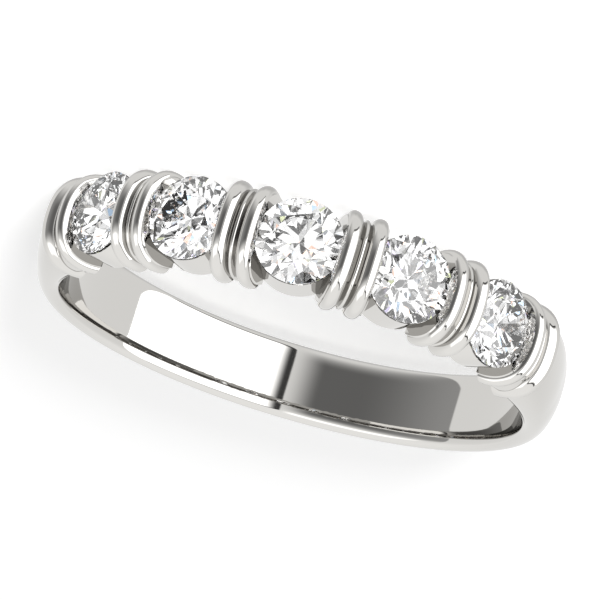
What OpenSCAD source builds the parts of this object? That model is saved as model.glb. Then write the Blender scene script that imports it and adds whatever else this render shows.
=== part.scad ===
// Bar set ring: one cast band with six pairs of rounded bars, and five round
// brilliants held by their girdles between the bars.
// Millimetres. The ring lies on its side: the finger hole runs along Z and is
// centred on the origin, and the stones face -Y.

/* [Finger hole] */
// Inside diameter of the ring
finger_d = 17.3; // [16.9:0.1:17.8]

/* [Stones] */
// Diameter of each stone at its girdle
stone_d = 3.11; // [3.05:0.01:3.15]
// Angle from one stone to the next
stone_pitch = 24.66; // [24.5:0.05:25]
// Table width as a share of the stone's diameter
table_share = 0.57; // [0.53:0.01:0.62]
// Slope of the crown's main facets, in degrees
crown_angle = 34; // [32:0.5:36]
// Depth of the pavilion below the girdle, as a share of the diameter
pavilion_share = 0.42; // [0.40:0.005:0.43]
// Thickness of the girdle
girdle_h = 0.09; // [0.06:0.01:0.12]
// Clearance between a stone and the metal round it
seat_gap = 0.03; // [0.02:0.01:0.05]

/* [Head] */
// Distance of the girdles from the centre of the head's arc
girdle_r = 9.614; // [9.58:0.01:9.7]
// Shift of that centre from the finger hole towards the head
head_shift = 0.591; // [0.55:0.01:0.65]
// How far the round cup under a stone stands out past its girdle
cup_out = 0.01; // [0:0.005:0.06]
// How far the cup's rim lies below the middle of the girdle
rim_below = 0.12; // [0.1:0.01:0.16]
// Radius of the hole drilled under a stone
under_hole_r = 0.8; // [0.6:0.05:0.9]

/* [Bars] */
// Half of a pair's width across its two flat faces, at their top edges
pair_half_w = 0.74; // [0.7:0.01:0.78]
// How much wider each flat face stands at its foot
pair_flare = 0.12; // [0.05:0.01:0.15]
// How far each pair stands from midway between its stones, away from the middle, in degrees
pair_shift = 0.5; // [0:0.1:0.6]
// Distance of a bar's crest from the middle of its pair
crest_at = 0.5; // [0.45:0.01:0.54]
// How far a flat face's top edge lies below the crest
face_drop = 0.24; // [0.18:0.01:0.3]
// Height of the bars' crest above the girdles
bar_rise = 0.70; // [0.6:0.01:0.8]
// Depth of the groove between two bars, below their crest
groove_depth = 0.33; // [0.25:0.01:0.4]
// Radius of the fine ridge that runs along the groove
ridge_r = 0.08; // [0.06:0.01:0.1]
// How far below the crest the ridge's top lies
ridge_drop = 0.19; // [0.15:0.01:0.25]
// Distance of an end bar's crest from the middle of its pair
end_crest_at = 0.62; // [0.5:0.01:0.66]
// Half of an end pair's width on its outer side
end_half_w = 0.95; // [0.85:0.01:1]
// How much higher an end bar's crest stands than the others
end_raise = 0.04; // [0:0.01:0.06]
// Half length of a middle bar across the ring, at its widest
bar_half_l = 1.83; // [1.75:0.01:1.9]
// How much shorter a bar would be a quarter of the way round
bar_taper = 0.09; // [0:0.01:0.18]
// How far below the girdles a bar is widest
widest_below = 0.84; // [0.7:0.01:0.9]
// How far the bars' feet draw in down to the finger hole
foot_in = 0.22; // [0.1:0.01:0.3]
// Fullness of the bars' arch: 2 is an ellipse, more is squarer
arch_power = 2.3; // [2:0.05:2.8]

/* [Shank] */
// Half width of the finger hole's edge, halfway round
edge_half_w = 1.373; // [1.3:0.01:1.45]
// How much wider that is at the head, and narrower at the back
edge_taper = 0.179; // [0.1:0.005:0.22]
// How far the outer face bulges past the edge on each side
side_bulge = 0.25; // [0.15:0.01:0.3]
// Thickness at the back of the ring
shank_t = 1.12; // [1.0:0.01:1.3]
// Thickness where the shoulders meet the end bars
shoulder_t = 1.7; // [1.5:0.01:1.8]
// Height above the finger hole at which the shank is widest
shank_widest = 0.4; // [0.3:0.01:0.5]
// Fullness of the shank's outer curve: 2 is an ellipse, more is squarer
shank_power = 2.2; // [2:0.05:2.8]

/* [Hidden] */

STONES = 5;
PAIRS = STONES + 1;
STONE_R = stone_d / 2;
FINGER_R = finger_d / 2;
CUP_R = STONE_R + cup_out;

// How far the solids reach in past the finger hole's wall, before it is bored
PAST_BORE = 0.2;
// Where the shank's side starts, as a share of its height and inside the hole
SIDE_FROM = -0.2;
// Length of the boring tool, longer than the ring is wide
BORE_H = 3 * bar_half_l;

// Depths are measured outwards from the centre of the head's arc
CREST = girdle_r + bar_rise;
WIDEST = girdle_r - widest_below;
FOOT = FINGER_R - head_shift - PAST_BORE;

// Steps of the curves, in counts and in degrees
ARCH_STEPS = 16;
FOOT_STEPS = 4;
SIDE_STEPS = 4;
SHANK_ARCH_STEPS = 14;
ROUND_STEP = 22.5;
RIDGE_STEP = 60;
SHANK_STEP = 6;
ROUND_FN = 96;
BORE_FN = 180;

// Facets of a stone: mains round the crown or pavilion, and flats round the girdle
MAINS = 8;
FLATS = 2 * MAINS;
// Where the lower girdle facets end near the culet, as a share of the stone's radius
LOWER_END = 0.25;

// The shank runs from inside one end pair, round the back, to the other
SHANK_FROM = 57;
SHANK_TO = 360 - SHANK_FROM;

// Thickness of the shank by angle from the head: [angle, share of the way
// from the back's thickness to the shoulders']
SHOULDER_SHAPE = [[57, 1], [64, 0.86], [72, 0.55], [82, 0.2], [94, 0.04], [110, 0], [180, 0]];

METAL = [0.80, 0.79, 0.77];
GEM = [0.86, 0.93, 0.98];

function stone_angle(i) = (i - (STONES + 1) / 2) * stone_pitch;
function pair_angle(k) =
    let (midway = (k - (PAIRS - 1) / 2) * stone_pitch)
        midway + sign(midway) * pair_shift;

// A signed power, for superelliptic curves
function bend(x, power) = sign(x) * pow(abs(x), 2 / power);

// Joins rings of equal length into one closed skin. Each ring is symmetric, so
// its flat ends are strips that run straight across from side to side.
module skin(rings) {
    n = len(rings[0]);
    m = len(rings);
    half = floor((n - 1) / 2);
    top = (m - 1) * n;
    points = [for (ring = rings) each ring];
    sides = [
        for (j = [0:m - 2], i = [0:n - 1])
            let (a = j * n + i, b = j * n + (i + 1) % n)
                each [[a, b, b + n], [a, b + n, a + n]]
    ];
    strips = [
        for (i = [0:half - 1])
            each [[i, i + 1, n - 1 - i], if (n - 2 - i > i + 1) [i + 1, n - 2 - i, n - 1 - i]]
    ];
    first = [for (t = strips) [t[2], t[1], t[0]]];
    last = [for (t = strips) [top + t[0], top + t[1], top + t[2]]];
    polyhedron(points, concat(first, sides, last), convexity = 8);
}

// Puts its children at a place on the head: X along the row of stones,
// Y across the ring, Z outwards
module on_head(angle) {
    translate([0, -head_shift, 0])
        rotate([0, 0, angle])
            rotate([90, 0, 0])
                children();
}

// Half length of the bars at an angle on the head: the ring tapers backwards
function half_length(angle) = bar_half_l + bar_taper * (cos(angle) - 1);

// Outline of a bar across the ring as [across, depth], lowered by a drop
function bar_outline(half_l, drop) = [
    for (s = [-1, 1])
        each s < 0
            ? [for (i = [0:FOOT_STEPS]) foot_point(half_l, drop, i / FOOT_STEPS, -1)]
            : concat(arch_points(half_l, drop),
                     [for (i = [FOOT_STEPS:-1:0]) foot_point(half_l, drop, i / FOOT_STEPS, 1)])
];

function foot_point(half_l, drop, t, side) = [
    side * (half_l - drop - foot_in * pow(1 - t, 2)),
    FOOT + (WIDEST - FOOT) * t
];

function arch_points(half_l, drop) = [
    for (i = [1:ARCH_STEPS - 1])
        let (a = 180 - 180 * i / ARCH_STEPS)
            [(half_l - drop) * bend(cos(a), arch_power),
             WIDEST + (CREST - WIDEST - drop) * bend(sin(a), arch_power)]
];

// Quarter round from a crest (a = 0) out to an edge (a = 90): [place, drop below the crest]
function quarter(crest, raise, reach, depth, a) =
    [crest + reach * sin(a), depth - (depth + raise) * cos(a)];

// One bar of a pair from its outer edge in to the groove, on the + side
function bar_section(end) =
    let (
        crest = end ? end_crest_at : crest_at,
        raise = end ? end_raise : 0,
        edge = end ? end_half_w : pair_half_w,
        depth = end ? groove_depth + face_drop : face_drop,
        groove = 2 * ridge_r
    )
    concat(
        [for (a = [90:-ROUND_STEP:0]) quarter(crest, raise, edge - crest, depth, a)],
        [for (a = [ROUND_STEP:ROUND_STEP:90]) quarter(crest, raise, groove - crest, groove_depth, a)]
    );

// The whole pair, with the ridge between; side is 1 or -1 where an end bar is, or 0
function pair_section(side) = concat(
    [for (p = bar_section(side < 0)) [-p[0], p[1]]],
    [for (a = [180 - RIDGE_STEP / 2:-RIDGE_STEP:RIDGE_STEP / 2])
        [ridge_r * cos(a), ridge_drop + ridge_r * (1 - sin(a))]],
    reversed(bar_section(side > 0))
);

function reversed(list) = [for (i = [len(list) - 1:-1:0]) list[i]];

// Flat faces lean out towards their feet
function leaned(place, depth, end) =
    place + (end ? sign(place) * pair_flare * (CREST - depth) / (CREST - FOOT) : 0);

module bar_pair(k) {
    angle = pair_angle(k);
    section = pair_section(k == 0 ? -1 : k == PAIRS - 1 ? 1 : 0);
    last = len(section) - 1;
    on_head(angle)
        skin([
            for (j = [0:last])
                let (place = section[j][0], drop = section[j][1])
                    [for (p = bar_outline(half_length(angle), drop))
                        [leaned(place, p[1], j == 0 || j == last), p[0], p[1]]]
        ]);
}

// Thickness and section of the shank at an angle from the head
function shank_thickness(angle) =
    shank_t + (shoulder_t - shank_t) * lookup(min(angle, 360 - angle), SHOULDER_SHAPE);

function shank_section(angle) =
    let (
        edge = edge_half_w + edge_taper * cos(angle),
        widest = edge + side_bulge,
        t = shank_thickness(angle)
    )
    concat(
        [for (i = [0:SIDE_STEPS]) shank_side(i / SIDE_STEPS, edge)],
        [for (i = [1:SHANK_ARCH_STEPS - 1])
            let (a = 180 * i / SHANK_ARCH_STEPS)
                [FINGER_R + shank_widest + (t - shank_widest) * bend(sin(a), shank_power),
                 widest * bend(cos(a), shank_power)]],
        [for (i = [SIDE_STEPS:-1:0]) mirrored(shank_side(i / SIDE_STEPS, edge))]
    );

// Side of the shank from inside the finger hole (0) up to where it is widest (1)
function shank_side(share, edge) =
    let (t = SIDE_FROM + (1 - SIDE_FROM) * share)
        [FINGER_R + shank_widest * t, edge + side_bulge * (1 - pow(1 - t, 2))];

function mirrored(p) = [p[0], -p[1]];

module shank() {
    skin([
        for (a = [SHANK_TO:-SHANK_STEP:SHANK_FROM])
            [for (p = shank_section(a)) [p[0] * sin(a), -p[0] * cos(a), p[1]]]
    ]);
}

// Round cup under a stone, from the finger hole up to just below the girdle
module cup(angle) {
    on_head(angle)
        translate([0, 0, FOOT])
            cylinder(r = CUP_R, h = girdle_r - rim_below - FOOT, $fn = ROUND_FN);
}

// Room for a stone: its own outline with the clearance added, and the hole under it
module seat(angle) {
    pavilion = STONE_R * 2 * pavilion_share;
    crown = STONE_R * (1 - table_share) * tan(crown_angle);
    r = STONE_R + seat_gap;
    half = girdle_h / 2 + seat_gap;
    drill_end = FOOT - girdle_r - PAST_BORE;
    on_head(angle)
        translate([0, 0, girdle_r])
            rotate_extrude($fn = ROUND_FN)
                polygon([
                    [0, drill_end],
                    [under_hole_r, drill_end],
                    [under_hole_r, -half - pavilion * (1 - under_hole_r / r)],
                    [r, -half],
                    [r, half],
                    [STONE_R * table_share, half + crown],
                    [0, half + crown]
                ]);
}

module band() {
    color(METAL)
        difference() {
            union() {
                shank();
                for (k = [0:PAIRS - 1]) bar_pair(k);
                for (i = [1:STONES]) cup(stone_angle(i));
            }
            for (i = [1:STONES]) seat(stone_angle(i));
            cylinder(r = FINGER_R, h = BORE_H, center = true, $fn = BORE_FN);
        }
}

// Points of a ring of facet corners on a stone: how many, from which angle
function facet_ring(count, from, r, z) =
    [for (i = [0:count - 1]) [r * cos(from + 360 * i / count), r * sin(from + 360 * i / count), z]];

// A round brilliant: table, 8 star, 8 kite and 16 upper girdle facets, a
// girdle of 16 flats, 16 lower girdle facets and 8 pavilion mains
module brilliant() {
    table_r = STONE_R * table_share;
    crown = (STONE_R - table_r) * tan(crown_angle);
    pavilion = stone_d * pavilion_share;
    half = girdle_h / 2;
    turn = 180 / MAINS;
    // Star facets reach halfway to the girdle
    star_r = (table_r * cos(turn) + STONE_R) / 2;
    star_z = half + (STONE_R - star_r * cos(turn)) * tan(crown_angle);
    lower_r = STONE_R * LOWER_END;
    lower_z = -half - pavilion * (1 - lower_r * cos(turn) / STONE_R);
    points = concat(
        facet_ring(MAINS, 0, table_r, half + crown),
        facet_ring(MAINS, turn, star_r, star_z),
        facet_ring(FLATS, 0, STONE_R, half),
        facet_ring(FLATS, 0, STONE_R, -half),
        facet_ring(MAINS, turn, lower_r, lower_z),
        [[0, 0, -half - pavilion]]
    );
    // First point of each ring: table, star, upper and lower girdle, pavilion, culet
    T = 0;
    S = T + MAINS;
    U = S + MAINS;
    L = U + FLATS;
    P = L + FLATS;
    C = P + MAINS;
    last = MAINS - 1;
    faces = concat(
        [[for (i = [0:last]) T + last - i]],
        [for (i = [0:last]) [T + i, T + (i + 1) % MAINS, S + i]],
        [for (i = [0:last]) each [
            [T + i, S + i, U + 2 * i],
            [T + i, U + 2 * i, S + (i + last) % MAINS]
        ]],
        [for (i = [0:last]) each [
            [S + i, U + 2 * i + 1, U + 2 * i],
            [S + i, U + (2 * i + 2) % FLATS, U + 2 * i + 1]
        ]],
        [for (i = [0:FLATS - 1]) each [
            [U + i, U + (i + 1) % FLATS, L + (i + 1) % FLATS],
            [U + i, L + (i + 1) % FLATS, L + i]
        ]],
        [for (i = [0:last]) each [
            [L + 2 * i, L + 2 * i + 1, P + i],
            [L + 2 * i + 1, L + (2 * i + 2) % FLATS, P + i]
        ]],
        [for (i = [0:last]) each [[L + 2 * i, P + i, C], [L + 2 * i, C, P + (i + last) % MAINS]]]
    );
    polyhedron(points, faces, convexity = 4);
}

module stone(i) {
    color(GEM)
        on_head(stone_angle(i))
            translate([0, 0, girdle_r])
                brilliant();
}

band();
stone(1);  // stone_1
stone(2);  // stone_2
stone(3);  // stone_3
stone(4);  // stone_4
stone(5);  // stone_5
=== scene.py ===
# %% [markdown]
# # A bar set band, dressed for its portrait
#
# The ring is one white gold casting that carries five round brilliants. The
# casting is a plain shank, six pairs of rounded bars across the head, and a
# round cup under each stone. The CAD model gives the sizes and the places, and
# this script makes the finer surfaces that a polished mirror of metal needs,
# the facets of the stones, the light and the camera.

import math

import bmesh
import bpy
import numpy as np
from mathutils import Matrix, Vector


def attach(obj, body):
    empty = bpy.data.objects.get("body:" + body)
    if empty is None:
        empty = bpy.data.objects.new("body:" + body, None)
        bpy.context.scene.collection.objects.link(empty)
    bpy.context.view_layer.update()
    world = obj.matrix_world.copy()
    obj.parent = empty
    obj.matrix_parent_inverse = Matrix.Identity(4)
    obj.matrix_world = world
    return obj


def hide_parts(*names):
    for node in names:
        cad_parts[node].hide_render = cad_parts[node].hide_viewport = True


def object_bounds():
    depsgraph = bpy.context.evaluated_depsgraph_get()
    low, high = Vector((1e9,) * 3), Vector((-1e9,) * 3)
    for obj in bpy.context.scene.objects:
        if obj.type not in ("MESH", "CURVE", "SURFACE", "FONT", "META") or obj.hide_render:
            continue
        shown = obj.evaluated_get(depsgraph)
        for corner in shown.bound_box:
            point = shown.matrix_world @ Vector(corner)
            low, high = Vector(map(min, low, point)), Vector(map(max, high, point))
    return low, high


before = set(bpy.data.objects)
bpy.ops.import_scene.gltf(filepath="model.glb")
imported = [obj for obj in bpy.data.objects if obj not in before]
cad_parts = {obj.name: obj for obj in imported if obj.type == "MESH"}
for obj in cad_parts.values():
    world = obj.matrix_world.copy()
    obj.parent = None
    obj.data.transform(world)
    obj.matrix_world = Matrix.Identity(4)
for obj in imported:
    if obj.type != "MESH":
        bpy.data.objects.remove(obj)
cad_low, cad_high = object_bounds()
scene = bpy.context.scene
MM = 0.001
print("CAD nodes:", sorted(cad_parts))

# %% [markdown]
# ## The camera
#
# The photo was taken from far away with a long lens, so the ring hardly
# narrows with distance. The camera stands in front of the stones, a little
# above the floor that the ring lies on, and is turned so that the stones are
# at the top of the picture. Its place and turn were worked out from the stones'
# outlines and the edges of the finger hole.

# %% Place the camera
CAMERA_AT = Vector((-19.640, -230.523, 61.346)) * MM
# The picture's own directions: to its right, up in it, and out of it
RIGHT = (-0.9594346, 0.0069442, -0.2818458)
UP = (0.2694167, -0.2719592, -0.9238251)
BACK = (-0.0830657, -0.9622837, 0.2590562)
LENS_LENGTH, SENSOR_WIDTH = 396.16, 36
# The nearest and the farthest that the camera sees, in metres
NEAREST, FARTHEST = 0.02, 5

camera_data = bpy.data.cameras.new("portrait_lens")
camera_data.sensor_width = SENSOR_WIDTH
camera_data.lens = LENS_LENGTH
camera_data.clip_start, camera_data.clip_end = NEAREST, FARTHEST
camera = bpy.data.objects.new("portrait_camera", camera_data)
camera_turn = Matrix((RIGHT, UP, BACK)).transposed().to_4x4()
camera.matrix_world = Matrix.Translation(CAMERA_AT) @ camera_turn
scene.collection.objects.link(camera)
scene.camera = camera
scene.view_settings.view_transform = "Standard"
print("camera", [round(c, 4) for c in camera.location], "lens", camera_data.lens)

# %% [markdown]
# ## The ring's sizes
#
# These are the same named sizes as in the part's source, in millimetres and
# degrees. Depths in the head are measured outwards from the centre of the
# head's arc, which lies a little in front of the finger hole's centre.

# %% Sizes of the stones and of the head's arc, as in the part's source
FINGER_R = 17.3 / 2
STONES = 5
STONE_R = 3.11 / 2
STONE_PITCH = 24.66
TABLE_SHARE = 0.57
CROWN_ANGLE = 34
PAVILION_SHARE = 0.42
GIRDLE_H = 0.09
SEAT_GAP = 0.03
GIRDLE_R = 9.614
HEAD_SHIFT = 0.591
CUP_OUT = 0.01
RIM_BELOW = 0.12
UNDER_HOLE_R = 0.8
print("stones:", STONES, "of", 2 * STONE_R, "mm, one every", STONE_PITCH, "degrees")

# %% Sizes of the bars and the shank, as in the part's source
PAIRS = STONES + 1
PAIR_HALF_W, PAIR_FLARE, PAIR_SHIFT = 0.74, 0.12, 0.5
CREST_AT, FACE_DROP, GROOVE_DEPTH = 0.5, 0.24, 0.33
RIDGE_R, RIDGE_DROP = 0.08, 0.19
END_CREST_AT, END_HALF_W, END_RAISE = 0.62, 0.95, 0.04
BAR_HALF_L, BAR_TAPER, FOOT_IN, ARCH_POWER = 1.83, 0.09, 0.22, 2.3
BAR_RISE, WIDEST_BELOW = 0.70, 0.84
# How far the bars' feet reach past the finger wall, and the drills past the feet
PAST_BORE = 0.2
CREST = GIRDLE_R + BAR_RISE
WIDEST = GIRDLE_R - WIDEST_BELOW
FOOT = FINGER_R - HEAD_SHIFT - PAST_BORE
EDGE_HALF_W, EDGE_TAPER, SIDE_BULGE = 1.373, 0.179, 0.25
SHANK_T, SHOULDER_T, SHANK_WIDEST, SHANK_POWER = 1.12, 1.7, 0.4, 2.2
# The share of the shoulder's extra thickness that is left, by degrees from the head's middle
SHOULDER_SHAPE = [(57, 1), (64, 0.86), (72, 0.55), (82, 0.2), (94, 0.04), (110, 0), (180, 0)]
print("crest", CREST, "widest", WIDEST, "foot", round(FOOT, 3))

# %% [markdown]
# ## Skins from sections
#
# Both the shank and the bars are lofts: a row of sections, each with the same
# number of points, joined by four-sided faces. One helper makes the mesh and
# leaves it closed, because the pieces are joined by Boolean steps later.

# %% A loft, and a lathe for the round cups
LATHE_STEPS = 144
# Points closer than this, in metres, become one
SAME_POINT = 1e-9


def add_object(name, mesh):
    made = bpy.data.objects.new(name, mesh)
    scene.collection.objects.link(made)
    return made


def turn_outwards(mesh):
    shell = bmesh.new()
    shell.from_mesh(mesh)
    bmesh.ops.remove_doubles(shell, verts=shell.verts, dist=SAME_POINT)
    bmesh.ops.recalc_face_normals(shell, faces=shell.faces)
    shell.to_mesh(mesh)
    shell.free()


def skin(name, rings):
    """A closed mesh from equal rings of points in millimetres."""
    rings = np.asarray(rings, float) * MM
    count, size = rings.shape[:2]
    first_cap = tuple(range(size))[::-1]
    last_cap = tuple((count - 1) * size + i for i in range(size))
    faces = [first_cap, last_cap]
    for j in range(count - 1):
        for i in range(size):
            a, b = j * size + i, j * size + (i + 1) % size
            faces.append((a, b, b + size, a + size))
    mesh = bpy.data.meshes.new(name)
    mesh.from_pydata(rings.reshape(-1, 3).tolist(), [], faces)
    turn_outwards(mesh)
    return mesh


def lathe(name, profile, steps=LATHE_STEPS):
    """Turns a profile of (radius, height) about the outward axis of the head."""
    turns = [2 * math.pi * i / steps for i in range(steps)]
    verts, faces, rows = [], [], []
    for r, z in profile:
        if r == 0:
            rows.append([len(verts)] * steps)
            verts.append((0, 0, z * MM))
            continue
        rows.append(list(range(len(verts), len(verts) + steps)))
        verts += [(r * math.cos(a) * MM, r * math.sin(a) * MM, z * MM) for a in turns]
    for low, high in zip(rows, rows[1:]):
        for i in range(steps):
            n = (i + 1) % steps
            face = (low[i], low[n], high[n], high[i])
            faces.append(tuple(dict.fromkeys(face)))
    mesh = bpy.data.meshes.new(name)
    mesh.from_pydata(verts, [], faces)
    turn_outwards(mesh)
    return mesh


print("helpers ready")

# %% [markdown]
# ## One pair of bars
#
# Seen along its length, each bar is a rounded hump: it climbs from a flat face
# beside the stone to a crest, and falls to a groove in the middle, where a fine
# ridge runs along. The whole section follows a full arch across the ring. The
# same rule as in the part's source is sampled much finer here, because a mirror
# shows every flat.

# %% The section of a pair
ROUND_STEPS, RIDGE_STEPS = 10, 10
# The ridge's round top, in degrees about its middle
RIDGE_FROM, RIDGE_TO = 165, 15


def bend(x, power):
    """A signed power, for superelliptic curves."""
    return math.copysign(abs(x) ** (2 / power), x)


def bar_section(end):
    """One bar from its outer edge in to the groove: (place, drop below the crest)."""
    crest = END_CREST_AT if end else CREST_AT
    raised = END_RAISE if end else 0
    edge = END_HALF_W if end else PAIR_HALF_W
    depth = GROOVE_DEPTH + FACE_DROP if end else FACE_DROP
    reach = 2 * RIDGE_R - crest
    turns = np.radians(np.linspace(0, 90, ROUND_STEPS + 1))
    outer = [
        (crest + (edge - crest) * math.sin(a), depth - (depth + raised) * math.cos(a))
        for a in turns[::-1]
    ]
    inner = [
        (crest + reach * math.sin(a), GROOVE_DEPTH - (GROOVE_DEPTH + raised) * math.cos(a))
        for a in turns[1:]
    ]
    return outer + inner


def pair_section(end):
    """The whole pair with its ridge; the end bar, if there is one, on the + side."""
    ridge = [
        (RIDGE_R * math.cos(a), RIDGE_DROP + RIDGE_R * (1 - math.sin(a)))
        for a in np.radians(np.linspace(RIDGE_FROM, RIDGE_TO, RIDGE_STEPS + 1))
    ]
    return [(-p, d) for p, d in bar_section(False)] + ridge + bar_section(end)[::-1]


print("points round a pair:", len(pair_section(False)))

# %% The arch across the ring, and the two kinds of pair
ARCH_STEPS, FOOT_STEPS = 72, 10


def bar_outline(drop):
    """Outline of a bar across the ring: (across, depth), lowered by a drop."""
    half_l, height = BAR_HALF_L - drop, CREST - WIDEST - drop
    def foot(t, side):
        return side * (half_l - FOOT_IN * (1 - t) ** 2), FOOT + (WIDEST - FOOT) * t
    up = [foot(i / FOOT_STEPS, -1) for i in range(FOOT_STEPS + 1)]
    arch = [
        (half_l * bend(math.cos(a), ARCH_POWER), WIDEST + height * bend(math.sin(a), ARCH_POWER))
        for a in np.radians(180 - 180 * np.arange(1, ARCH_STEPS) / ARCH_STEPS)
    ]
    down = [foot(i / FOOT_STEPS, 1) for i in range(FOOT_STEPS, -1, -1)]
    return up + arch + down


def pair_mesh(name, end):
    """A pair whose two outer faces lean out towards their feet."""
    section = pair_section(end)
    rings = []
    for j, (place, drop) in enumerate(section):
        outermost = j in (0, len(section) - 1)
        lean = PAIR_FLARE / (CREST - FOOT) * math.copysign(outermost, place)
        outline = bar_outline(drop)
        rings.append([(place + lean * (CREST - depth), across, depth) for across, depth in outline])
    return skin(name, rings)


middle_pair = add_object("middle_pair", pair_mesh("middle_pair", False))
end_pair = add_object("end_pair", pair_mesh("end_pair", True))
print("pair:", len(middle_pair.data.polygons), "faces")

# %% [markdown]
# ## Geometry Nodes place what repeats round the head
#
# Bars, cups, seats and stones all stand at equal angles round one arc. A
# Geometry Nodes tree says that rule once: it puts copies of a piece on the arc,
# pushes them away from the middle where needed, and makes the outer ones a
# little shorter, as the ring narrows backwards. A small wrapper lets the
# angles be written as ordinary sums.

# %% A wrapper that writes sums as Math nodes
def feed(tree, slot, value):
    """Links a field to a slot, or writes a plain value into it."""
    if isinstance(value, Field):
        tree.links.new(value.socket, slot)
    else:
        slot.default_value = value


class Field:
    """A value inside a node tree, so that a rule can be written as a formula."""

    def __init__(self, tree, socket):
        self.tree, self.socket = tree, socket

    def math(self, operation, *others):
        node = self.tree.nodes.new("ShaderNodeMath")
        node.operation = operation
        for slot, value in zip(node.inputs, (self,) + others):
            feed(self.tree, slot, value)
        return Field(self.tree, node.outputs[0])

    def __add__(self, other):
        return self.math("ADD", other)

    def __sub__(self, other):
        return self.math("SUBTRACT", other)

    def __mul__(self, other):
        return self.math("MULTIPLY", other)

    def __truediv__(self, other):
        return self.math("DIVIDE", other)


def combined(tree, x, y, z):
    node = tree.nodes.new("ShaderNodeCombineXYZ")
    for slot, value in zip(node.inputs, (x, y, z)):
        feed(tree, slot, value)
    return node.outputs[0]


print("sums become nodes")

# %% The tree that places a piece round the head
ROUND_HEAD_INPUTS = [
    ("Piece", "NodeSocketObject", None),
    ("Count", "NodeSocketInt", STONES),
    ("Pitch", "NodeSocketFloat", math.radians(STONE_PITCH)),
    ("Push Outwards", "NodeSocketFloat", 0.0),
    ("Head Shift", "NodeSocketFloat", HEAD_SHIFT * MM),
    ("Narrowing", "NodeSocketFloat", 0.0),
    ("Turn First", "NodeSocketFloat", 0.0),
    ("Finish", "NodeSocketMaterial", None),
]


def round_the_head():
    tree = bpy.data.node_groups.new("round_the_head", "GeometryNodeTree")
    new, link = tree.nodes.new, tree.links.new
    tree.interface.new_socket("Geometry", in_out="INPUT", socket_type="NodeSocketGeometry")
    for name, kind, value in ROUND_HEAD_INPUTS:
        made = tree.interface.new_socket(name, in_out="INPUT", socket_type=kind)
        if value is not None:
            made.default_value = value
    tree.interface.new_socket("Geometry", in_out="OUTPUT", socket_type="NodeSocketGeometry")
    given, result = new("NodeGroupInput"), new("NodeGroupOutput")

    index = Field(tree, new("GeometryNodeInputIndex").outputs[0])
    count = Field(tree, given.outputs["Count"])
    midway = (index - (count - 1) / 2) * Field(tree, given.outputs["Pitch"])
    angle = midway + midway.math("SIGN") * Field(tree, given.outputs["Push Outwards"])
    shorter = (angle.math("COSINE") - 1) * Field(tree, given.outputs["Narrowing"]) + 1
    is_first = index.math("LESS_THAN", 0.5)
    first_turn = is_first * Field(tree, given.outputs["Turn First"])
    forward = Field(tree, given.outputs["Head Shift"]) * -1.0

    points = new("GeometryNodePoints")
    link(given.outputs["Count"], points.inputs["Count"])
    link(combined(tree, 0.0, forward, 0.0), points.inputs["Position"])
    piece = new("GeometryNodeObjectInfo")
    link(given.outputs["Piece"], piece.inputs["Object"])
    turn = new("FunctionNodeEulerToRotation")
    link(combined(tree, math.pi / 2, 0.0, angle), turn.inputs[0])
    copies = new("GeometryNodeInstanceOnPoints")
    link(points.outputs[0], copies.inputs["Points"])
    link(piece.outputs["Geometry"], copies.inputs["Instance"])
    link(turn.outputs[0], copies.inputs["Rotation"])
    link(combined(tree, 1.0, shorter, 1.0), copies.inputs["Scale"])
    about = new("FunctionNodeEulerToRotation")
    link(combined(tree, 0.0, 0.0, first_turn), about.inputs[0])
    turned = new("GeometryNodeRotateInstances")
    turned.inputs["Local Space"].default_value = True
    link(copies.outputs[0], turned.inputs["Instances"])
    link(about.outputs[0], turned.inputs["Rotation"])
    real = new("GeometryNodeRealizeInstances")
    link(turned.outputs[0], real.inputs[0])
    finish = new("GeometryNodeSetMaterial")
    link(real.outputs[0], finish.inputs["Geometry"])
    link(given.outputs["Finish"], finish.inputs["Material"])
    link(finish.outputs[0], result.inputs[0])
    return tree


ROUND_THE_HEAD = round_the_head()
print("tree:", len(ROUND_THE_HEAD.nodes), "nodes")

# %% Run a tree and keep its result as a plain mesh
def evaluated(obj):
    bpy.context.view_layer.update()
    graph = bpy.context.evaluated_depsgraph_get()
    return bpy.data.meshes.new_from_object(obj.evaluated_get(graph))


def placed(name, **sizes):
    """The tree's result for these inputs, as a new object at the origin."""
    holder = add_object(name, bpy.data.meshes.new(name))
    modifier = holder.modifiers.new("round the head", "NODES")
    modifier.node_group = ROUND_THE_HEAD
    for item in ROUND_THE_HEAD.interface.items_tree:
        key = item.name.replace(" ", "_").lower()
        if item.in_out == "INPUT" and key in sizes:
            modifier[item.identifier] = sizes[key]
    mesh = evaluated(holder)
    holder.modifiers.clear()
    holder.data = mesh
    mesh.materials.clear()
    if "finish" in sizes:
        mesh.materials.append(sizes["finish"])
    return holder


print("ready to place")

# %% [markdown]
# ## The finish of the metal
#
# Polished white gold is a slightly warm mirror. Two things keep it from looking
# computed: the hair lines that a polishing wheel leaves, and faint waves where
# the wheel pressed more. Both come from one node group. The stones use it too,
# with hardly any roughness and no relief.

# %% A group for what polishing leaves behind
MARKS_INPUTS = ("Wave Size", "Line Size", "Least Roughness", "Most Roughness")
# Hair lines run round the ring, so they are this much finer along the finger hole
LINE_STRETCH = (1, 1, 12)
# How high the hair lines stand, as a share of the waves
LINE_HEIGHT = 0.04
# The part of the noise's range that is spread from least to most roughness
NOISE_LOW, NOISE_HIGH = 0.35, 0.65


def float_sockets(group, inputs, outputs):
    """Gives a group its sockets, and returns its input and output nodes."""
    for way, names in (("INPUT", inputs), ("OUTPUT", outputs)):
        for name in names:
            group.interface.new_socket(name, in_out=way, socket_type="NodeSocketFloat")
    return group.nodes.new("NodeGroupInput"), group.nodes.new("NodeGroupOutput")


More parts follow.
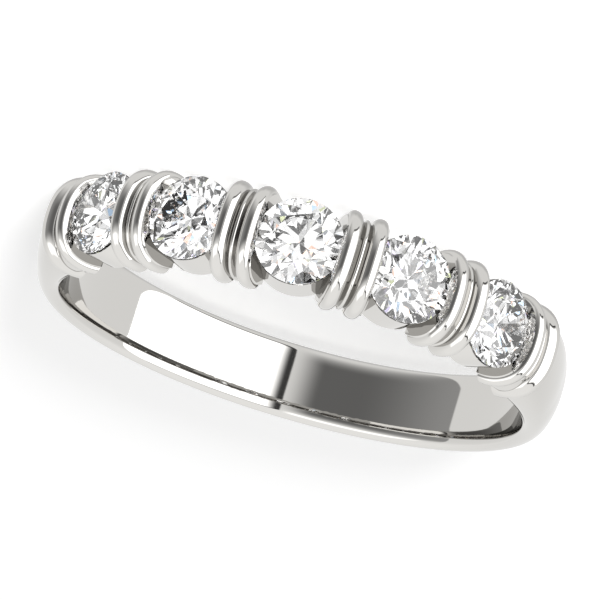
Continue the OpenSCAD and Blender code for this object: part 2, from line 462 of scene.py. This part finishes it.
def polishing_group():
    group = bpy.data.node_groups.new("polishing_marks", "ShaderNodeTree")
    given, result = float_sockets(group, MARKS_INPUTS, ("Roughness", "Height"))
    new, link = group.nodes.new, group.links.new
    place = new("ShaderNodeTexCoord")
    waves, lines = new("ShaderNodeTexNoise"), new("ShaderNodeTexNoise")
    stretch = new("ShaderNodeMapping")
    stretch.inputs["Scale"].default_value = LINE_STRETCH
    for noise, size, detail in ((waves, "Wave Size", 1), (lines, "Line Size", 2)):
        noise.inputs["Detail"].default_value = detail
        link(given.outputs[size], noise.inputs["Scale"])
    link(place.outputs["Object"], waves.inputs["Vector"])
    link(place.outputs["Object"], stretch.inputs["Vector"])
    link(stretch.outputs[0], lines.inputs["Vector"])
    spread = new("ShaderNodeMapRange")
    spread.inputs["From Min"].default_value = NOISE_LOW
    spread.inputs["From Max"].default_value = NOISE_HIGH
    link(lines.outputs[0], spread.inputs["Value"])
    link(given.outputs["Least Roughness"], spread.inputs["To Min"])
    link(given.outputs["Most Roughness"], spread.inputs["To Max"])
    link(spread.outputs[0], result.inputs["Roughness"])
    height = Field(group, waves.outputs[0]) + Field(group, lines.outputs[0]) * LINE_HEIGHT
    link(height.socket, result.inputs["Height"])
    return group


POLISHING = polishing_group()
print("group:", POLISHING.name)

# %% White gold and the clear stones
def finish_of(name, marks, relief_depth, **sockets):
    """A material: its marks in the order of MARKS_INPUTS, its relief in metres."""
    material = bpy.data.materials.new(name)
    material.use_nodes = True
    tree = material.node_tree
    shader = tree.nodes["Principled BSDF"]
    for socket, value in sockets.items():
        shader.inputs[socket.replace("_", " ")].default_value = value
    polish = tree.nodes.new("ShaderNodeGroup")
    polish.node_tree = POLISHING
    for socket, value in zip(MARKS_INPUTS, marks):
        polish.inputs[socket].default_value = value
    tree.links.new(polish.outputs["Roughness"], shader.inputs["Roughness"])
    if relief_depth:
        relief = tree.nodes.new("ShaderNodeBump")
        relief.inputs["Strength"].default_value = 1.0
        relief.inputs["Distance"].default_value = relief_depth
        tree.links.new(polish.outputs["Height"], relief.inputs["Height"])
        tree.links.new(relief.outputs["Normal"], shader.inputs["Normal"])
    return material


white_gold = finish_of(
    "white_gold", marks=(500, 9000, 0.015, 0.05), relief_depth=0.0008 * MM,
    Base_Color=(0.66, 0.648, 0.626, 1), Metallic=1.0,
)
brilliant_gem = finish_of(
    "brilliant_gem", marks=(900, 4000, 0.0, 0.004), relief_depth=0,
    Base_Color=(1.0, 1.0, 1.0, 1), Metallic=0.0, Transmission_Weight=1.0, IOR=2.42,
)
print("materials:", white_gold.name, brilliant_gem.name)

# %% [markdown]
# ## The shank
#
# The shank has a D section: a straight wall on the finger, sides that bulge
# out, and a full curve outside. It thickens towards the shoulders and narrows
# towards the back. The edge on the finger is rounded a little, as it is on any
# ring that can be worn, and that thin rounding mirrors the head as a fine line.

# %% The shank's sections, swept round the finger hole
# The shank begins and ends this many degrees from the middle of the head
SHANK_FROM, SHANK_SECTIONS = 57, 165
SIDE_STEPS, SHANK_ARCH_STEPS, WALL_STEPS = 8, 48, 8
# The soft edge on the finger: how far it reaches along the wall, and up the side
SOFT_ALONG, SOFT_UP = 0.6, 0.15
# It stops short of a full quarter turn, where the side goes on
SOFT_TURN, SOFT_STEPS = 84, 16


def shank_section(angle):
    """One section as (radius, place along the finger), point after point round it."""
    share = np.interp(min(angle, 360 - angle), *zip(*SHOULDER_SHAPE))
    thickness = SHANK_T + (SHOULDER_T - SHANK_T) * share
    edge = EDGE_HALF_W + EDGE_TAPER * math.cos(math.radians(angle))
    widest = edge + SIDE_BULGE
    rise = thickness - SHANK_WIDEST
    def side(s):
        return FINGER_R + SHANK_WIDEST * s, edge + SIDE_BULGE * (1 - (1 - s) ** 2)
    start = SOFT_UP / SHANK_WIDEST
    corner = [
        (FINGER_R + SOFT_UP * (1 - math.cos(a)), side(start)[1] - SOFT_ALONG * (1 - math.sin(a)))
        for a in np.radians(np.linspace(0, SOFT_TURN, SOFT_STEPS))
    ]
    sides = [side(start + (1 - start) * i / SIDE_STEPS) for i in range(SIDE_STEPS + 1)]
    half = corner + sides
    arch = [
        (
            FINGER_R + SHANK_WIDEST + rise * bend(math.sin(a), SHANK_POWER),
            widest * bend(math.cos(a), SHANK_POWER),
        )
        for a in np.radians(180 * np.arange(1, SHANK_ARCH_STEPS) / SHANK_ARCH_STEPS)
    ]
    wall = [(FINGER_R, -corner[0][1] * (1 - 2 * i / WALL_STEPS)) for i in range(1, WALL_STEPS)]
    return half + arch + [(r, -w) for r, w in half[::-1]] + wall


rings = []
for angle in np.linspace(SHANK_FROM, 360 - SHANK_FROM, SHANK_SECTIONS):
    a = math.radians(angle)
    rings.append([(r * math.sin(a), -r * math.cos(a), w) for r, w in shank_section(angle)])
shank = add_object("shank", skin("shank", rings))
print("shank:", len(shank.data.polygons), "faces")

# %% [markdown]
# ## One casting from many shapes
#
# The bars, the cups and the shank are cast in one piece. Boolean steps join
# them, then cut the seats of the stones and the finger hole, as the setter's
# burr and the reamer do.

# %% Cups, seats and the boring tool
BORER_HALF_L, BORER_STEPS = 5, 360
half_girdle = GIRDLE_H / 2 + SEAT_GAP
pavilion = STONE_R * 2 * PAVILION_SHARE
crown = STONE_R * (1 - TABLE_SHARE) * math.tan(math.radians(CROWN_ANGLE))
seat_r = STONE_R + SEAT_GAP
drill_end = FOOT - GIRDLE_R - PAST_BORE
drill_top = -half_girdle - pavilion * (1 - UNDER_HOLE_R / seat_r)
cup_r, rim = STONE_R + CUP_OUT, GIRDLE_R - RIM_BELOW

# Profiles of (radius, height): the seat's heights start from the girdle
cup_profile = [(0, FOOT), (cup_r, FOOT), (cup_r, rim), (0, rim)]
seat_profile = [
    (0, drill_end),
    (UNDER_HOLE_R, drill_end),
    (UNDER_HOLE_R, drill_top),
    (seat_r, -half_girdle),
    (seat_r, half_girdle),
    (STONE_R * TABLE_SHARE, half_girdle + crown),
    (0, half_girdle + crown),
]
borer_profile = [
    (0, -BORER_HALF_L),
    (FINGER_R, -BORER_HALF_L),
    (FINGER_R, BORER_HALF_L),
    (0, BORER_HALF_L),
]
cup = add_object("cup", lathe("cup", cup_profile))
seat = add_object("seat", lathe("seat", [(r, GIRDLE_R + z) for r, z in seat_profile]))
borer = add_object("borer", lathe("borer", borer_profile, steps=BORER_STEPS))
print("cup, seat and borer made")

# %% Place them and the bars round the head
cups = placed("cups", piece=cup, count=STONES)
seats = placed("seats", piece=seat, count=STONES)
narrowing = BAR_TAPER / BAR_HALF_L
shift = math.radians(PAIR_SHIFT)
end_to_end = math.radians(STONE_PITCH * (PAIRS - 1))
bars = placed(
    "bars", piece=middle_pair, count=PAIRS - 2,
    push_outwards=shift, narrowing=narrowing,
)
end_bars = placed(
    "end_bars", piece=end_pair, count=2, pitch=end_to_end,
    push_outwards=shift, narrowing=narrowing, turn_first=math.pi,
)
print("bars:", len(bars.data.polygons), "end bars:", len(end_bars.data.polygons))

# %% Join and cut
# Edges that turn by more than this many degrees stay sharp
SHARP_FROM = 28


def combine(base, operation, tool):
    step = base.modifiers.new(operation.lower(), "BOOLEAN")
    step.operation, step.object, step.solver = operation, tool, "MANIFOLD"
    mesh = evaluated(base)
    base.modifiers.clear()
    base.data = mesh
    print(" ", base.name, operation.lower(), tool.name, "->", len(mesh.polygons), "faces")


band = add_object("band_polished", cups.data.copy())
combine(band, "UNION", bars)
combine(band, "UNION", end_bars)
combine(band, "DIFFERENCE", seats)
combine(band, "DIFFERENCE", borer)
combine(band, "UNION", shank)
for tool in (cup, seat, borer, cups, seats, bars, end_bars, shank, middle_pair, end_pair):
    bpy.data.objects.remove(tool)
turn_outwards(band.data)
band.data.materials.clear()
band.data.materials.append(white_gold)
band.data.shade_smooth()
band.data.set_sharp_from_angle(angle=math.radians(SHARP_FROM))
print("band:", sum(len(p.vertices) - 2 for p in band.data.polygons), "triangles")

# %% [markdown]
# ## The brilliants
#
# A round brilliant is cut, not moulded, so it is made by cutting here as well:
# a round blank loses one slice for each facet. The planes go through the corner
# points that a cutter aims for, and the girdle gets its wavy edge by itself.

# %% The planes of the facets
MAINS = 8
# Where the lower girdle facets end near the culet, as a share of the stone's radius
LOWER_END = 0.25


def facet_planes():
    """Each facet's plane as three points, in millimetres about the girdle's middle."""
    slope = math.tan(math.radians(CROWN_ANGLE))
    half_turn = math.pi / MAINS
    table_r, half = STONE_R * TABLE_SHARE, GIRDLE_H / 2
    table_z = half + (STONE_R - table_r) * slope
    depth = STONE_R * 2 * PAVILION_SHARE
    star_r, lower_r = (table_r * math.cos(half_turn) + STONE_R) / 2, STONE_R * LOWER_END
    def at(r, a, z):
        return Vector((r * math.cos(a), r * math.sin(a), z))
    def on_crown(r, a):
        return at(r, a, half + (STONE_R - r * math.cos(half_turn)) * slope)
    def on_pavilion(r, a):
        return at(r, a, -half - depth * (1 - r * math.cos(half_turn) / STONE_R))
    culet = Vector((0, 0, -half - depth))
    planes = [[Vector((x, y, table_z)) for x, y in ((0, 0), (1, 0), (0, 1))]]
    for i in range(MAINS):
        here = 2 * half_turn * i
        midway, after = here + half_turn, here + 2 * half_turn
        tip, base = at(STONE_R, here, half), at(STONE_R, here, -half)
        star, low = on_crown(star_r, midway), on_pavilion(lower_r, midway)
        corner, next_corner = at(table_r, here, table_z), at(table_r, after, table_z)
        planes.append([tip, corner, star])
        planes.append([corner, next_corner, star])
        planes.append([base, culet, low])
        for side in (here, after):
            planes.append([at(STONE_R, side, half), at(STONE_R, midway, half), star])
            planes.append([at(STONE_R, side, -half), at(STONE_R, midway, -half), low])
    return planes


print("facets:", len(facet_planes()))

# %% Cut one stone from a blank, and place five
BLANK_SIDES = 96
# In millimetres
CUT_TOLERANCE, WELD_DISTANCE = 1e-5, 1e-4


def slice_off(blank, a, b, c):
    """Cuts away what lies outside the plane through three points, and closes the cut."""
    normal = (b - a).cross(c - a).normalized()
    if normal.dot(a) < 0:
        normal = -normal
    cut = bmesh.ops.bisect_plane(
        blank, geom=blank.verts[:] + blank.edges[:] + blank.faces[:], dist=CUT_TOLERANCE,
        plane_co=a, plane_no=normal, clear_outer=True,
    )
    edges = [e for e in cut["geom_cut"] if isinstance(e, bmesh.types.BMEdge) and e.is_boundary]
    if edges:
        bmesh.ops.contextual_create(blank, geom=edges)


def brilliant_mesh():
    blank = bmesh.new()
    bmesh.ops.create_cone(
        blank, cap_ends=True, segments=BLANK_SIDES,
        radius1=STONE_R, radius2=STONE_R, depth=3 * STONE_R,
    )
    for plane in facet_planes():
        slice_off(blank, *plane)
    bmesh.ops.remove_doubles(blank, verts=blank.verts, dist=WELD_DISTANCE)
    bmesh.ops.recalc_face_normals(blank, faces=blank.faces)
    to_girdle = Matrix.Scale(MM, 4) @ Matrix.Translation((0, 0, GIRDLE_R))
    bmesh.ops.transform(blank, matrix=to_girdle, verts=blank.verts)
    mesh = bpy.data.meshes.new("brilliant")
    blank.to_mesh(mesh)
    open_edges = sum(1 for e in blank.edges if not e.is_manifold)
    blank.free()
    print("brilliant:", len(mesh.polygons), "faces,", open_edges, "open edges")
    return mesh


brilliant = add_object("brilliant", brilliant_mesh())
stones = placed("brilliants", piece=brilliant, count=STONES, finish=brilliant_gem)
bpy.data.objects.remove(brilliant)
print("stones:", len(stones.data.polygons), "faces,", [m.name for m in stones.data.materials])

# %% [markdown]
# ## Whose piece is whose
#
# The polished band stands for the CAD band, and the cut stones for the five
# CAD stones. The CAD shapes stay in the model, for touch and weight.

# %% Tie the pieces to the frame
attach(band, "root")
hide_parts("band")
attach(stones, "root")
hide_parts(*[f"stone_{i}" for i in range(1, STONES + 1)])
print("tied")

# %% [markdown]
# ## The floor and the light
#
# The ring lies on a pale table under one big soft dome of light. A mirror shows
# only its surroundings, so the dome has the panels that a jeweller's light tent
# has: broad white and dark sheets, with narrower strips between them.

# %% The table
# In metres
TABLE_HALF_W = 1.5
TABLE_GREY, TABLE_GLOW, TABLE_ROUGHNESS = 0.93, 0.38, 0.9

corners = [(-1, -1), (1, -1), (1, 1), (-1, 1)]
floor_mesh = bpy.data.meshes.new("table_top")
floor_mesh.from_pydata(
    [(x * TABLE_HALF_W, y * TABLE_HALF_W, cad_low.z) for x, y in corners], [], [(0, 1, 2, 3)]
)
table_top = add_object("table_top", floor_mesh)
pale = bpy.data.materials.new("pale_table")
pale.use_nodes = True
pale_shader = pale.node_tree.nodes["Principled BSDF"]
pale_shader.inputs["Base Color"].default_value = (TABLE_GREY, TABLE_GREY, TABLE_GREY, 1)
pale_shader.inputs["Roughness"].default_value = TABLE_ROUGHNESS
pale_shader.inputs["Specular IOR Level"].default_value = 0.0
pale_shader.inputs["Emission Color"].default_value = (1, 1, 1, 1)
pale_shader.inputs["Emission Strength"].default_value = TABLE_GLOW
floor_mesh.materials.append(pale)
table_top.visible_glossy = False
table_top.visible_transmission = False
print("table at", round(cad_low.z / MM, 3), "mm")

# %% [markdown]
# The tent is drawn by direction: an azimuth and an elevation for every ray.
# Two node groups say how much of a panel or a sheet a direction meets.

# %% A group for the panels of the tent
DIRECTION = ("Azimuth", "Elevation")
EDGES = ("From Azimuth", "To Azimuth", "From Elevation", "To Elevation")


def smooth_step(tree, value, low, high):
    """A soft step: 0 below low, 1 above high."""
    step = tree.nodes.new("ShaderNodeMapRange")
    step.interpolation_type = "SMOOTHSTEP"
    step.inputs["From Min"].default_value = low
    step.inputs["From Max"].default_value = high
    tree.links.new(value.socket, step.inputs["Value"])
    return Field(tree, step.outputs[0])


def panel_group():
    """How much a direction falls on a panel: 1 inside, 0 outside, each edge as soft as asked."""
    group = bpy.data.node_groups.new("tent_panel", "ShaderNodeTree")
    softness = tuple(name + " Softness" for name in EDGES)
    given, result = float_sockets(group, DIRECTION + EDGES + softness, ("Share",))
    share = None
    for name in EDGES:
        where = Field(group, given.outputs[name.split()[1]])
        edge = Field(group, given.outputs[name])
        soft = Field(group, given.outputs[name + " Softness"])
        inwards = where - edge if name.startswith("From") else edge - where
        # Half of the softness lies on either side of the edge
        ramp = smooth_step(group, inwards / soft, -0.5, 0.5)
        share = ramp if share is None else share * ramp
    group.links.new(share.socket, result.inputs[0])
    return group


TENT_PANEL = panel_group()
print("panel rule:", len(TENT_PANEL.nodes), "nodes")

# %% A group for the white sheet
SHEET_INPUTS = EDGES + ("Corner", "Fade", "Rim Width")
# The first side is cut straight, so the rounded outline runs on past it, in degrees
PAST_CUT = 90


def sheet_group():
    """A round-cornered sheet: 1 in the middle, fading to its edge, and the dark rim outside it."""
    group = bpy.data.node_groups.new("tent_sheet", "ShaderNodeTree")
    given, result = float_sockets(group, DIRECTION + SHEET_INPUTS, ("White", "Rim"))
    value = {name: Field(group, given.outputs[name]) for name in DIRECTION + SHEET_INPUTS}
    past = []
    for way, hidden in zip(DIRECTION, (PAST_CUT, 0)):
        first, last = value["From " + way] - hidden, value["To " + way]
        from_middle = (value[way] - (first + last) / 2).math("ABSOLUTE")
        past.append(from_middle - (last - first) / 2 + value["Corner"])
    beyond = [p.math("MAXIMUM", 0.0) for p in past]
    away = (beyond[0] * beyond[0] + beyond[1] * beyond[1]).math("SQRT")
    away = away + past[0].math("MAXIMUM", past[1]).math("MINIMUM", 0.0) - value["Corner"]
    cut = (value["Azimuth"] - value["From Azimuth"]).math("GREATER_THAN", 0.0)
    for name, share in (("White", away * -1.0 / value["Fade"]), ("Rim", value["Rim Width"] - away)):
        group.links.new((smooth_step(group, share, 0, 1) * cut).socket, result.inputs[name])
    return group


TENT_SHEET = sheet_group()
print("sheet rule:", len(TENT_SHEET.nodes), "nodes")

# %% [markdown]
# The metal sees a pale grey tent. One white sheet with a dark rim hangs towards
# -X, and a darker sheet with a pale strip over it towards +X. Two grey sheets
# hang below the table at the back: painted shade, standing in for the shaded
# table under the ring that the metal would mirror. Light that the metal passes
# on more than once finds the tent dimmed: painted shade, which keeps the grooves
# and the bars' faces beside the stones dark. Stones need more contrast than
# that: light that has passed through a stone meets a patchwork of bright and
# dark sheets, painted reflections seen only through the stones, with a few
# tinted ones that paint the stones' fire, the flecks of colour that dispersion
# gives.

# %% The tent that the metal sees
# Azimuth runs from the camera's side (-Y) towards +X, elevation up from the table,
# both in degrees; each edge is followed by its softness
PANELS = [
    # from az, to az, from el, to el, brightness
    ((5, 18), (89, 2), (-36, 40), (16, 24), 0.16),
    ((62, 60), (89, 2), (-36, 40), (16, 24), 0.37),
    ((2, 8), (78, 12), (28, 7), (56, 8), 1.7),
    # The two low sheets at the back lie below the table: painted shade for the shaded table under
    # the ring
    ((130, 36), (186, 2), (-74, 24), (-27, 20), 0.66),
    ((-186, 2), (-130, 36), (-74, 24), (-27, 20), 0.66),
]
# The tent's own cloth, which brightens from one elevation to another
LOW_TENT, HIGH_TENT = (0.95, 0.95, 0.945), (1.15, 1.15, 1.145)
RISE_FROM, RISE_TO = 5, 60
# The white sheet's values in the order of SHEET_INPUTS, and its two brightnesses
SHEET = (-91, -4.4, -50, 44, 12, 7.0, 2.6)
SHEET_BRIGHT, RIM_BRIGHT = 2.3, 0.06

world = bpy.data.worlds.new("light_tent")
scene.world = world
world.use_nodes = True
sky = world.node_tree
place = sky.nodes.new("ShaderNodeTexCoord")
split = sky.nodes.new("ShaderNodeSeparateXYZ")
sky.links.new(place.outputs["Generated"], split.inputs[0])
x, y, z = (Field(sky, split.outputs[i]) for i in range(3))
azimuth = x.math("ARCTAN2", y * -1.0) * math.degrees(1)
elevation = z.math("ARCSINE") * math.degrees(1)


def mixed(share, low, high, blend="MIX"):
    """Two colours mixed by a share; a colour is a field or a plain (red, green, blue)."""
    node = sky.nodes.new("ShaderNodeMix")
    node.data_type, node.blend_type = "RGBA", blend
    feed(sky, node.inputs["Factor"], share)
    for name, value in (("A", low), ("B", high)):
        feed(sky, node.inputs[name], value if isinstance(value, Field) else (*value, 1))
    return Field(sky, node.outputs["Result"])


def hung(group, colour, values, layers):
    """Hangs a group's panel or sheet before a colour; layers are (output, brightness)."""
    node = sky.nodes.new("ShaderNodeGroup")
    node.node_tree = group
    for name, value in (("Azimuth", azimuth), ("Elevation", elevation), *values.items()):
        feed(sky, node.inputs[name], value)
    for output, bright in layers:
        colour = mixed(Field(sky, node.outputs[output]), colour, (bright,) * 3)
    return colour


colour = mixed(smooth_step(sky, elevation, RISE_FROM, RISE_TO), LOW_TENT, HIGH_TENT)
for *edges, bright in PANELS:
    values = {name: edge for name, (edge, soft) in zip(EDGES, edges)}
    values |= {name + " Softness": soft for name, (edge, soft) in zip(EDGES, edges)}
    colour = hung(TENT_PANEL, colour, values, [("Share", bright)])
layers = [("Rim", RIM_BRIGHT), ("White", SHEET_BRIGHT)]
colour = hung(TENT_SHEET, colour, dict(zip(SHEET_INPUTS, SHEET)), layers)
print("tent panels:", len(PANELS))

# %% The patchwork that the stones see: painted reflections and painted fire
# The dark and bright cells are painted reflections, met only by light inside a stone
# The tinted cells paint the stones' fire, the flecks of colour that dispersion gives
PATCH_SCALE, PATCH_PLACE, FLECK_SCALE = 9.5, 11.1, 9.0
# Each step starts at a share of all cells: (from, brightness) and (from, tint)
PATCH_STEPS = [(0, 0.01), (0.16, 0.12), (0.25, 0.4), (0.36, 0.85), (0.55, 1.3), (0.8, 2.1)]
FLECK_STEPS = [
    (0.0, (1.0, 0.68, 0.55)),
    (0.02, (0.55, 0.75, 1.0)),
    (0.045, (0.85, 0.92, 0.55)),
    (0.06, (0.72, 0.65, 0.95)),
    (0.075, (1, 1, 1)),
]


def cells(scale):
    """A Voronoi pattern over all directions, one random colour a cell."""
    node = sky.nodes.new("ShaderNodeTexVoronoi")
    node.inputs["Scale"].default_value = scale
    sky.links.new(place.outputs["Generated"], node.inputs["Vector"])
    return node


def stepped(pattern, steps):
    """A colour for each cell, drawn from the steps by the cell's own random number."""
    draw = sky.nodes.new("ShaderNodeSeparateXYZ")
    sky.links.new(pattern.outputs["Color"], draw.inputs[0])
    ramp = sky.nodes.new("ShaderNodeValToRGB")
    ramp.color_ramp.interpolation = "CONSTANT"
    stops = ramp.color_ramp.elements
    for i, (start, shade) in enumerate(steps):
        stop = stops[i] if i < 2 else stops.new(start)
        stop.position, stop.color = start, (*shade, 1)
    sky.links.new(draw.outputs[0], ramp.inputs[0])
    return Field(sky, ramp.outputs[0])


patches = cells(PATCH_SCALE)
patches.voronoi_dimensions = "4D"
patches.inputs["W"].default_value = PATCH_PLACE
shades = stepped(patches, [(start, (grey,) * 3) for start, grey in PATCH_STEPS])
painted_fire_tints = stepped(cells(FLECK_SCALE), FLECK_STEPS)
patchwork = mixed(1.0, shades, painted_fire_tints, blend="MULTIPLY")
print("patches:", len(PATCH_STEPS), "shades and", len(FLECK_STEPS) - 1, "painted_fire_tints")

# %% Which light sees what
# How much each reflection after the first dims the tent, and the least that is left;
# this dimming is painted shade in the grooves and on the bars' faces beside the stones
PAINTED_SHADE_EACH_TIME, LEAST_LEFT = 0.3, 0.3
# How strongly the tent lights the table, which glows by itself
TENT_ON_TABLE = 0.38

path = sky.nodes.new("ShaderNodeLightPath")
reflections = Field(sky, path.outputs["Glossy Depth"])
left = reflections * -PAINTED_SHADE_EACH_TIME + (1 + PAINTED_SHADE_EACH_TIME)
left = left.math("MAXIMUM", LEAST_LEFT).math("MINIMUM", 1.0)
dimmed = sky.nodes.new("ShaderNodeVectorMath")
dimmed.operation = "SCALE"
feed(sky, dimmed.inputs[0], colour)
feed(sky, dimmed.inputs["Scale"], left)
through = Field(sky, path.outputs["Transmission Depth"]).math("GREATER_THAN", 0.5)
background = sky.nodes["Background"]
feed(sky, background.inputs["Color"], mixed(through, Field(sky, dimmed.outputs[0]), patchwork))
strength = Field(sky, path.outputs["Is Diffuse Ray"]) * (TENT_ON_TABLE - 1) + 1.0
feed(sky, background.inputs["Strength"], strength)
print("world nodes:", len(sky.nodes))

# %% [markdown]
# The table glows a little, as a light table does. One soft lamp, lower than the
# camera, adds to it from the front, so it lays a pale shadow inside the ring and
# behind it. It is left out of the reflections, where the tent does that work.

# %% The soft lamp, and how often light may turn
# Its place and size are in metres
LAMP_AT = (-0.064, -0.344, 0.04)
LAMP_SIZE, LAMP_WATTS = 0.06, 3.1

lamp_data = bpy.data.lights.new("soft_lamp", "AREA")
lamp_data.shape, lamp_data.size = "DISK", LAMP_SIZE
lamp_data.energy = LAMP_WATTS
lamp = bpy.data.objects.new("soft_lamp", lamp_data)
lamp.location = LAMP_AT
lamp.rotation_euler = (-lamp.location).to_track_quat("-Z", "Y").to_euler()
lamp.visible_glossy = lamp.visible_transmission = False
scene.collection.objects.link(lamp)
scene.cycles.max_bounces = 24
scene.cycles.glossy_bounces = 8
scene.cycles.transmission_bounces = 20
print("lamp on")

# %% Measure, and finish
print("CAD box mm:", [round(v / MM, 3) for v in (*cad_low, *cad_high)])
